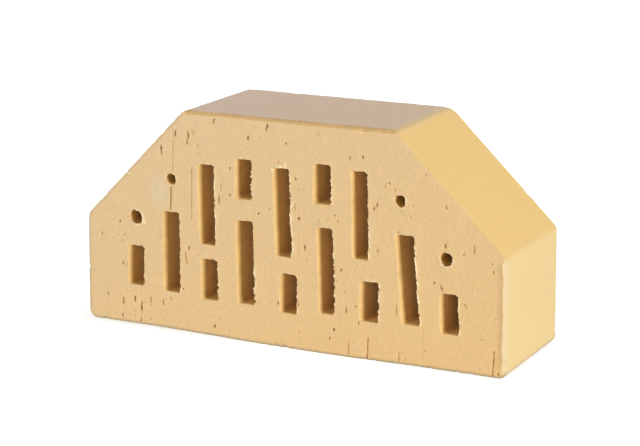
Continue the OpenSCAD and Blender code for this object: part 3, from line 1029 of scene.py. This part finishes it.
def fired_clay_material(finish, size):
    """Fired clay with three finishes: matt wire-cut clay, the die's satin skin, and the hole walls.

    The mesh's shares and the place on the brick mix their colours, some of which paint light and shade, and
    noises shade them.
    """
    material = bpy.data.materials.new("fired_clay")
    material.use_nodes = True
    desk = NodeDesk(material.node_tree)
    place = desk.add("ShaderNodeTexCoord").outputs["Object"]
    split = desk.add("ShaderNodeSeparateXYZ", {"Vector": place}).outputs
    rim, end, crest, grime, hollow, pit, burr, smear, bore = map(desk.share, FINISH_SHARES)
    half_length = size["length"] / 2 * MM
    height = size["height"] * MM

    broad = desk.noise(place, BROAD, 2.0)
    mottle = desk.noise(place, MOTTLE, 4.0, 0.6)
    grain = desk.noise(place, GRAIN, 3.0, 0.7)
    drag = desk.stretched_noise(place, WIRE_DRAG, 3.0, 0.6)
    fleck = desk.stretched_noise(place, FLECKS, 2.0)
    nibble = desk.noise(place, NIBBLE, 4.0, 0.7)
    draw = desk.stretched_noise(place, DIE_DRAW, 3.0, 0.55)

    # The skin starts at the arris, along a line that strays most at the ends
    strays = desk.times(desk.spread(nibble, 0.25, 0.75, -1.0, 1.0), desk.spread(end, 0.0, 1.0, 0.15, 0.6))
    rim_line = desk.sum(rim, strays)
    skin = desk.spread(rim_line, -0.12, 0.12)

    # Wire-cut clay is warmer to the right and towards the foot, with smears, grain and flecks
    lean = desk.spread(split["X"], -half_length, half_length, 0.0, 0.55)
    sink = desk.spread(split["Z"], 0.0, height, 0.45, 0.0)
    patches = desk.spread(desk.sum(broad, mottle), 0.75, 1.25, -0.05, 0.05)
    warmth = desk.sum(desk.sum(lean, sink), patches)
    cut_colour = desk.mix(desk.spread(warmth, 0.0, 1.0), finish.cut_pale[:], finish.cut_warm[:])
    shade = desk.times(desk.vary(grain, 0.92, 1.08), desk.vary(drag, 0.96, 1.04))
    shade = desk.times(shade, desk.vary(mottle, 0.985, 1.015))
    cut_colour = desk.mix(desk.times(smear, 0.6), cut_colour, finish.smear_grey[:])
    cut_colour = desk.shaded(cut_colour, shade)
    cut_colour = desk.mix(desk.spread(fleck, 0.69, 0.78, 0.0, 0.3), cut_colour, finish.fleck_and_pit_shade_brown[:])
    cut_colour = desk.mix(desk.spread(fleck, 0.31, 0.23, 0.0, 0.3), cut_colour, finish.pale_clay_and_highlight[:])

    # Painted light: the skin is painted lighter on the cut corners and retinted on the top for how light
    # falls there. Painted shade: it is painted darker just above the floor
    wavy_height = desk.sum(split["Z"], desk.vary(broad, -0.001, 0.001))
    shoulder = size["height"] - size["right_drop"]
    slope_share = desk.spread(wavy_height, (shoulder - 2.0) * MM, (shoulder + 2.0) * MM)
    top_share = desk.spread(split["Z"], (size["height"] - 1.2) * MM, height)
    crest_x = (size["length"] / 2 - size["right_run"]) * MM
    top_share = desk.times(top_share, desk.spread(split["X"], crest_x - 0.001, crest_x - 0.006))
    top_colour = desk.mix(desk.spread(split["X"], -0.06, 0.03), finish.skin_top_left_painted_light[:], finish.skin_top_painted_light[:])
    skin_colour = desk.mix(slope_share, finish.skin_low[:], finish.skin_slope_painted_light[:])
    skin_colour = desk.mix(top_share, skin_colour, top_colour)
    drawn = desk.sum(mottle, draw)
    skin_shade = desk.spread(drawn, 0.7, 1.3, 0.99, 1.01)
    # Painted shade: the skin is painted darker in the last centimetre above the floor
    skin_shade = desk.times(skin_shade, desk.spread(split["Z"], 0.001, 0.010, 0.93, 1.0))
    skin_colour = desk.shaded(skin_colour, skin_shade)
    colour = desk.mix(skin, cut_colour, skin_colour)

    # Hole walls are painted darker and cooler deeper in, which is painted shade, and the round bores are
    # painted darker still with depth; both mouths keep the paler hollow colour
    off_middle = desk.sum(split["Y"], 0.0, "ABSOLUTE")
    mouth = size["thickness"] / 2 * MM
    deep = desk.spread(off_middle, mouth - 0.003, mouth - 0.018)
    deep_slot = desk.times(deep, desk.spread(bore, 0.0, 1.0, 1.0, 0.3))
    deep_bore = desk.times(deep, bore)
    hollow_colour = desk.mix(deep_slot, finish.hollow[:], finish.hollow_deep_shade[:])
    hollow_shade = desk.spread(drawn, 0.7, 1.3, 0.92, 1.08)
    # Painted shade: the round bores are painted darker with depth
    hollow_shade = desk.times(hollow_shade, desk.spread(deep_bore, 0.0, 1.0, 1.0, 0.4))
    hollow_colour = desk.shaded(hollow_colour, hollow_shade)
    colour = desk.mix(hollow, colour, hollow_colour)

    # The end arrises, worn and also painted greyer for the sheen they catch, with a painted highlight at
    # their inner edge and a tint beside the right one; the top's arris painted brown, which is painted shade,
    # with a painted highlight just below it
    worn_and_sheen = desk.times(skin, end)
    beside = desk.times(desk.spread(rim_line, -3.2, -0.5), end)
    beside = desk.times(beside, desk.spread(split["X"], 0.0, 0.1))
    beside = desk.times(beside, desk.sum(1.0, skin, "SUBTRACT"))
    colour = desk.mix(beside, colour, finish.beside_tint[:], "MULTIPLY")
    # Painted highlight: the front just below the top arris is lightened
    under_crest = desk.times(desk.spread(rim_line, -1.0, -0.4), crest)
    colour = desk.shaded(colour, desk.spread(under_crest, 0.0, 1.0, 1.0, 1.05))
    # Painted shade: the top arris painted brown
    colour = desk.mix(desk.times(skin, crest), colour, finish.crest_shade_brown[:])
    # Worn end arrises, painted greyer for their sheen
    worn_and_sheen_share = desk.times(worn_and_sheen, desk.spread(rim_line, 0.8, 2.4, 0.9, 0.6))
    colour = desk.mix(worn_and_sheen_share, colour, finish.worn_and_sheen_pale[:])
    # Painted highlight along the inner edge of the end arrises
    painted_edge_highlight = desk.times(worn_and_sheen, desk.spread(rim_line, 0.8, 0.3, 0.0, 0.18))
    colour = desk.mix(painted_edge_highlight, colour, finish.pale_clay_and_highlight[:])

    # Burrs and flakes painted pale, partly a painted highlight along the edges of holes and pits; painted
    # shade along the base and the left end's edge; pits and cracks painted dark brown for the shade in them,
    # with a rusty rim
    ragged = desk.vary(grain, -0.25, 0.25)
    # Pale burrs and flakes, partly a painted highlight along hole and pit edges
    colour = desk.mix(desk.spread(desk.sum(burr, ragged), 0.3, 0.7), colour, finish.pale_clay_and_highlight[:])
    # Painted shade along the base edge and the left end's edge
    colour = desk.mix(grime, colour, finish.painted_edge_shade_tint[:], "MULTIPLY")
    ragged_pit = desk.times(pit, desk.vary(fleck, 0.7, 1.3))
    # Painted shade in pits and cracks, with a rusty rim
    colour = desk.mix(desk.spread(ragged_pit, 0.15, 0.45, 0.0, 0.85), colour, finish.pit_rust[:])
    colour = desk.mix(desk.spread(ragged_pit, 0.5, 0.85), colour, finish.fleck_and_pit_shade_brown[:])

    matt = desk.vary(grain, finish.cut_roughness - 0.05, finish.cut_roughness + 0.05)
    gloss_share = desk.spread(split["Z"], (size["height"] - 3.0) * MM, (size["height"] - 1.2) * MM)
    satin = desk.blend(gloss_share, finish.skin_roughness, finish.top_roughness)
    satin = desk.sum(satin, desk.vary(mottle, -0.02, 0.02))
    roughness = desk.blend(skin, matt, satin)

    cut_relief = desk.sum(desk.times(grain, 0.8), desk.times(drag, 0.3))
    cut_relief = desk.sum(cut_relief, desk.spread(ragged_pit, 0.3, 0.6), "SUBTRACT")
    relief = desk.blend(skin, cut_relief, desk.times(draw, 0.015))
    bump_inputs = {"Strength": BUMP_STRENGTH, "Distance": BUMP_DEPTH, "Height": relief}
    bump = desk.add("ShaderNodeBump", bump_inputs).outputs["Normal"]

    clay_inputs = {"Base Color": colour, "Roughness": roughness, "Normal": bump, "IOR": CLAY_IOR}
    clay = desk.add("ShaderNodeBsdfPrincipled", clay_inputs)
    desk.add("ShaderNodeOutputMaterial", {"Surface": clay.outputs["BSDF"]})
    return material


def floor_material(colour):
    """Pale matt floor that reads as white where nothing shades it: it glows more the further out it lies."""
    material = bpy.data.materials.new("studio_floor")
    material.use_nodes = True
    desk = NodeDesk(material.node_tree)
    path = desk.add("ShaderNodeLightPath").outputs
    seen = desk.sum(path["Is Camera Ray"], path["Is Glossy Ray"], "MAXIMUM")
    seen = desk.sum(seen, path["Is Transmission Ray"], "MAXIMUM")
    place = desk.add("ShaderNodeTexCoord").outputs["Object"]
    distance = desk.add("ShaderNodeVectorMath", {0: place}, operation="LENGTH").outputs["Value"]
    lift = desk.times(seen, desk.spread(distance, *GLOW_SPAN, *FLOOR_GLOW))
    matt = desk.add("ShaderNodeBsdfDiffuse", {"Color": (*colour, 1.0)}).outputs["BSDF"]
    glow = desk.add("ShaderNodeEmission", {"Color": WHITE, "Strength": lift}).outputs["Emission"]
    both = desk.add("ShaderNodeAddShader", {0: matt, 1: glow}).outputs["Shader"]
    desk.add("ShaderNodeOutputMaterial", {"Surface": both})
    return material


def studio_world(ambient):
    """White backdrop to the camera; gloss and light see it as a white band round a dim ceiling."""
    world = bpy.data.worlds.new("studio")
    world.use_nodes = True
    desk = NodeDesk(world.node_tree)
    path = desk.add("ShaderNodeLightPath").outputs
    way = desk.add("ShaderNodeTexCoord").outputs["Generated"]
    rise = desk.add("ShaderNodeSeparateXYZ", {"Vector": way}).outputs["Z"]
    band = desk.spread(rise, *BAND_RISES, *BAND_LEVELS)
    level = desk.spread(path["Is Glossy Ray"], 0.0, 1.0, ambient, 1.0)
    seen = desk.sum(path["Is Camera Ray"], path["Is Transmission Ray"], "MAXIMUM")
    strength = desk.sum(desk.times(band, level), seen, "MAXIMUM")
    backdrop = desk.add("ShaderNodeBackground", {"Color": WHITE, "Strength": strength})
    desk.add("ShaderNodeOutputWorld", {"Surface": backdrop.outputs["Background"]})
    return world


def facing(azimuth, elevation):
    """Turn of a lamp or camera that looks at the brick from an azimuth to the right and an elevation."""
    return Matrix.Rotation(azimuth, 4, "Z") @ Matrix.Rotation(math.pi / 2 - elevation, 4, "X")


class CLAY_BRICK_OT_make_body(bpy.types.Operator):
    """Make the clay body that stands for the brick's solid"""

    bl_idname = "clay_brick.make_body"
    bl_label = "Make Clay Body"

    def execute(self, context):
        size = in_millimetres(context.scene.clay_brick_sizes)
        points, triangles, quads, shares = shape_brick(size)
        mesh = fill_mesh("clay_body", points, triangles, quads, shares)
        mesh.materials.append(fired_clay_material(context.scene.clay_brick_finish, size))
        body = bpy.data.objects.new("clay_body", mesh)
        context.scene.collection.objects.link(body)
        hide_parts("brick")
        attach(body, "root")
        return {"FINISHED"}


class CLAY_BRICK_OT_set_stage(bpy.types.Operator):
    """Set the floor, the light and the camera"""

    bl_idname = "clay_brick.set_stage"
    bl_label = "Set Stage"

    def execute(self, context):
        scene = context.scene
        studio = scene.clay_brick_studio
        signs = ((-1, -1), (1, -1), (1, 1), (-1, 1))
        corners = [(x * FLOOR_REACH, y * FLOOR_REACH, 0.0) for x, y in signs]
        mesh = bpy.data.meshes.new("floor")
        mesh.from_pydata(corners, [], [(0, 1, 2, 3)])
        mesh.materials.append(floor_material(studio.floor_colour[:]))
        floor = bpy.data.objects.new("floor", mesh)
        scene.collection.objects.link(floor)
        scene.world = studio_world(studio.ambient)
        scene.view_settings.view_transform = "Standard"

        middle = Matrix.Translation((0.0, 0.0, NODE_SIZE.z / 2))
        for name in ("key", "fill", "top"):
            width = getattr(studio, f"{name}_width")
            lamp = bpy.data.lights.new(name, "AREA")
            lamp.energy = getattr(studio, f"{name}_power")
            lamp.shape = "RECTANGLE"
            lamp.size = width
            lamp.size_y = getattr(studio, f"{name}_height", width)
            turn = facing(getattr(studio, f"{name}_azimuth"), getattr(studio, f"{name}_elevation"))
            holder = bpy.data.objects.new(name, lamp)
            holder.matrix_world = middle @ turn @ Matrix.Translation((0, 0, studio.lamp_distance))
            scene.collection.objects.link(holder)

        lens = bpy.data.cameras.new("camera")
        lens.sensor_width = SENSOR_WIDTH
        lens.lens = studio.lens
        camera = bpy.data.objects.new("camera", lens)
        turn = facing(studio.azimuth, studio.elevation) @ Matrix.Rotation(studio.roll, 4, "Z")
        back = Matrix.Translation((0, 0, studio.distance))
        camera.matrix_world = Matrix.Translation(studio.aim) @ turn @ back
        scene.collection.objects.link(camera)
        scene.camera = camera
        return {"FINISHED"}


class CLAY_BRICK_PT_panel(bpy.types.Panel):
    """Sizes, colours and steps of the clay brick"""

    bl_label = "Clay Brick"
    bl_space_type = "VIEW_3D"
    bl_region_type = "UI"
    bl_category = "Clay Brick"

    def draw(self, context):
        scene = context.scene
        for group in (scene.clay_brick_sizes, scene.clay_brick_finish, scene.clay_brick_studio):
            box = self.layout.box()
            for name in group.__annotations__:
                box.prop(group, name)
        self.layout.operator(CLAY_BRICK_OT_make_body.bl_idname)
        self.layout.operator(CLAY_BRICK_OT_set_stage.bl_idname)


CLASSES = (
    BrickSizes,
    BrickFinish,
    StudioSettings,
    CLAY_BRICK_OT_make_body,
    CLAY_BRICK_OT_set_stage,
    CLAY_BRICK_PT_panel,
)


def register():
    """Registers the classes and gives each scene its settings."""
    for item in CLASSES:
        bpy.utils.register_class(item)
    bpy.types.Scene.clay_brick_sizes = bpy.props.PointerProperty(type=BrickSizes)
    bpy.types.Scene.clay_brick_finish = bpy.props.PointerProperty(type=BrickFinish)
    bpy.types.Scene.clay_brick_studio = bpy.props.PointerProperty(type=StudioSettings)


def unregister():
    """Takes back what register did."""
    del bpy.types.Scene.clay_brick_studio
    del bpy.types.Scene.clay_brick_finish
    del bpy.types.Scene.clay_brick_sizes
    for item in reversed(CLASSES):
        bpy.utils.unregister_class(item)


def main():
    """Sets the stage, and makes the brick."""
    register()
    bpy.ops.clay_brick.set_stage()
    bpy.ops.clay_brick.make_body()


if __name__ == "__main__":
    main()
